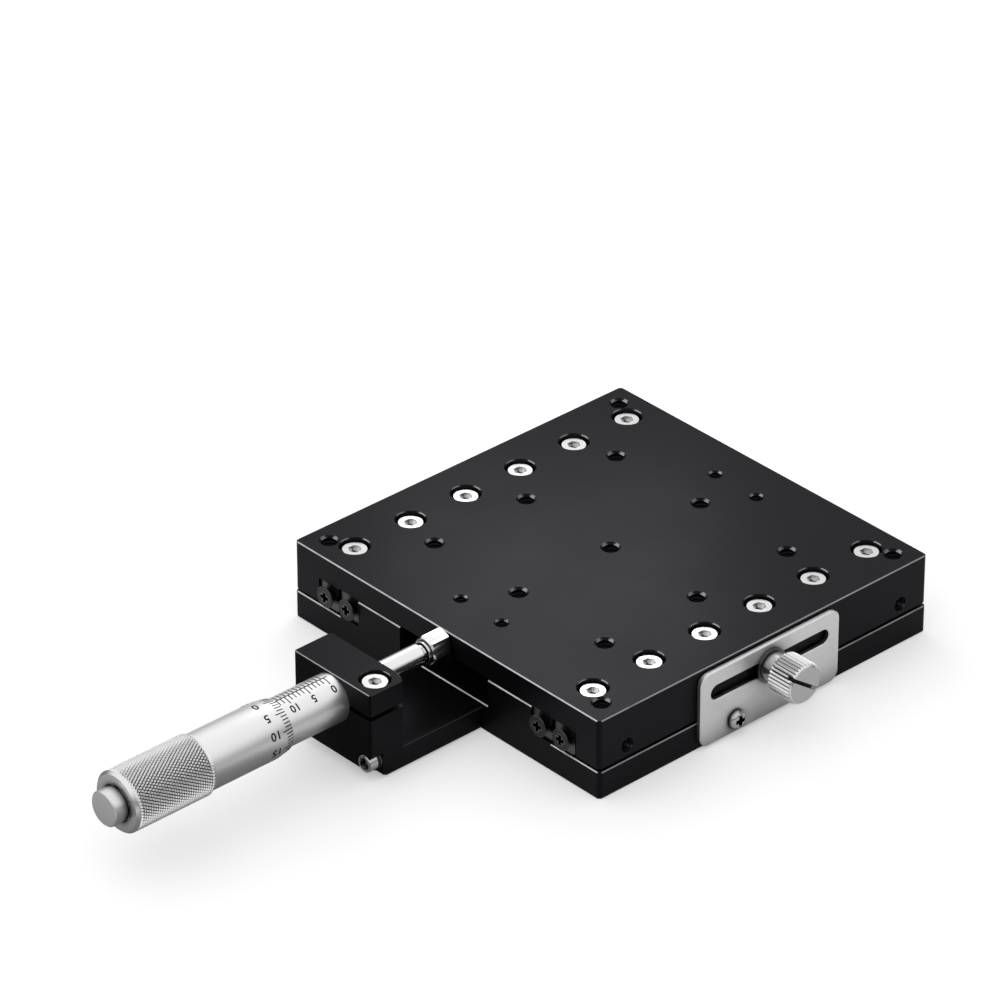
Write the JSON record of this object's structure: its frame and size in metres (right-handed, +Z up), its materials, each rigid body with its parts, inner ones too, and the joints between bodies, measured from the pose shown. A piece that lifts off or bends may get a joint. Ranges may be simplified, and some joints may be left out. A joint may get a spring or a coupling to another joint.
{
  "type": "micrometer positioning stage",
  "caption": "Square linear stage on crossed-roller ways, moved by a micrometer head in a clamp bracket and held by a thumb screw in a slotted plate.",
  "frame": {"origin": "centre of the base plate's bottom face", "axes": "+X along the travel, away from the micrometer; +Y to the left of it; +Z up, out of the table's face"},
  "size_m": [0.1772, 0.1008, 0.0215],
  "materials": {
    "black_anodised_base": "satin black anodised",
    "black_anodised_table": "satin black anodised",
    "black_anodised_bracket": "satin black anodised",
    "rail_steel": "dark ground steel",
    "bright_screw": "bright nickel",
    "black_screw": "black oxide",
    "post_steel": "ground",
    "spring_steel": "drawn wire",
    "satin_chrome_body": "satin",
    "satin_chrome_sleeve": "satin, black graduations",
    "brass_nut": "turned",
    "satin_chrome_thimble": "satin, diamond knurl, black graduations",
    "satin_chrome_cap": "satin",
    "polished_spindle": "ground and lapped",
    "polished_anvil": "polished",
    "satin_stainless_plate": "satin",
    "plate_screw_steel": "nickel plated",
    "nickel_knob": "nickel plated, straight knurl",
    "nickel_washer": "nickel plated",
    "cage_brass": "stamped",
    "roller_steel": "lapped"
  },
  "bodies": {
    "base": {"base_plate": "black_anodised_base", "inner_rail_left": "rail_steel", "inner_rail_right": "rail_steel", "base_rail_screws": "bright_screw", "inner_rail_end_screws": "black_screw", "base_spring_posts": "post_steel", "return_springs": "spring_steel", "bracket": "black_anodised_bracket", "bracket_screws": "bright_screw", "bracket_spring_washers": "black_screw", "bracket_plain_washers": "black_screw", "clamp_screw": "bright_screw", "micrometer_body": "satin_chrome_body", "graduated_sleeve": "satin_chrome_sleeve", "adjusting_nut": "brass_nut", "lock_plate": "satin_stainless_plate", "lock_plate_screws": "plate_screw_steel"},
    "table": {"table_top": "black_anodised_table", "outer_rail_left": "rail_steel", "outer_rail_right": "rail_steel", "table_rail_screws": "bright_screw", "outer_rail_end_screws": "black_screw", "preload_set_screws": "black_screw", "table_spring_posts": "post_steel", "hex_anvil": "polished_anvil"},
    "left_cage": {"cage_left": "cage_brass", "rollers_left": "roller_steel"},
    "right_cage": {"cage_right": "cage_brass", "rollers_right": "roller_steel"},
    "spindle": {"spindle": "polished_spindle"},
    "thimble": {"thimble": "satin_chrome_thimble", "thimble_cap": "satin_chrome_cap"},
    "lock_screw": {"lock_screw": "nickel_knob", "lock_washer": "nickel_washer"}
  },
  "joints": [
    {"name": "table_slide", "type": "slide", "parent": "base", "child": "table", "axis": [1, 0, 0], "range_m": [-0.0125, 0.0125], "deforming": ["return_springs"]},
    {"name": "spindle_slide", "type": "slide", "parent": "base", "child": "spindle", "axis": [1, 0, 0], "range_m": [-0.0125, 0.0125]},
    {"name": "thimble_turn", "type": "hinge", "parent": "spindle", "child": "thimble", "pos_m": [-0.11, 0, 0.015], "axis": [1, 0, 0], "range_deg": [-9000, 9000]},
    {"name": "left_cage_slide", "type": "slide", "parent": "base", "child": "left_cage", "axis": [1, 0, 0], "range_m": [-0.00625, 0.00625]},
    {"name": "right_cage_slide", "type": "slide", "parent": "base", "child": "right_cage", "axis": [1, 0, 0], "range_m": [-0.00625, 0.00625]},
    {"name": "lock_screw_turn", "type": "hinge", "parent": "table", "child": "lock_screw", "pos_m": [0, -0.05, 0.01205], "axis": [0, -1, 0], "range_deg": [0, 360]}
  ],
  "couplings": [
    {"joint": "thimble_turn", "follows": "table_slide", "rad_per_m": 12566},
    {"joint": "spindle_slide", "follows": "table_slide", "ratio": 1},
    {"joint": "left_cage_slide", "follows": "table_slide", "ratio": 0.5},
    {"joint": "right_cage_slide", "follows": "table_slide", "ratio": 0.5}
  ]
}
